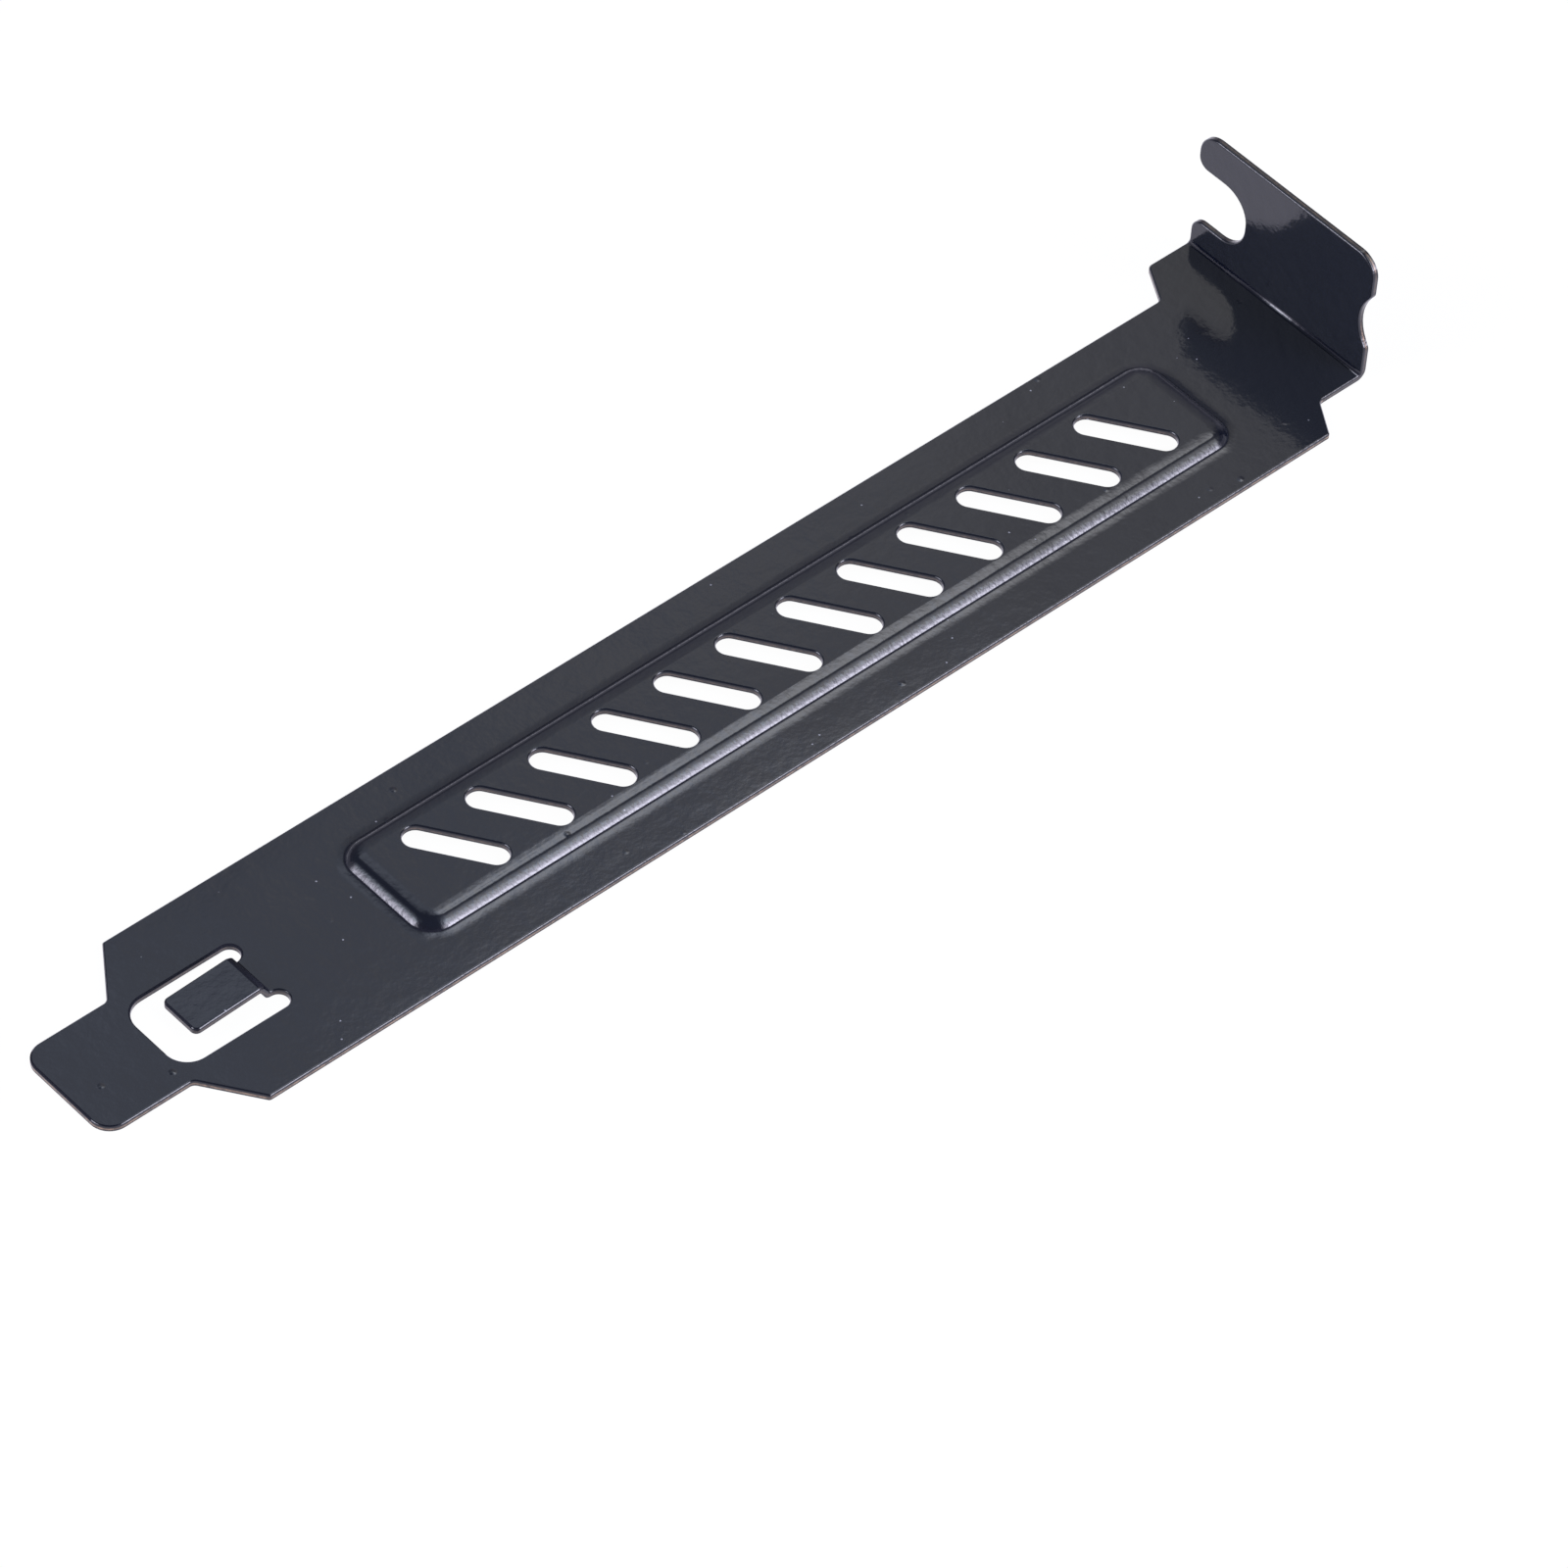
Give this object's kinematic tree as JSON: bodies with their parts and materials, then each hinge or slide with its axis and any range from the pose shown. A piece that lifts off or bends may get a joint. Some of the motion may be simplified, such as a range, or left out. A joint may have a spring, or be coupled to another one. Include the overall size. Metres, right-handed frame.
{
  "type": "pci slot cover bracket",
  "caption": "Full-height blanking bracket for an expansion slot: flat strip with a vented raised panel, a lifted tab, a tongue and a folded screw flange.",
  "frame": {"origin": "under the middle of the overall box, on the flat back of the strip", "axes": "+X along the strip from the tongue to the flange, +Y to the side where the flange's screw notch opens, +Z off the flat back, the way the flange, the panel and the tab rise"},
  "size_m": [0.12, 0.0218, 0.012],
  "materials": {
    "black_paint": "semi-gloss black enamel on thin sheet steel"
  },
  "bodies": {
    "root": {"slot_cover": "black_paint"}
  },
  "joints": []
}
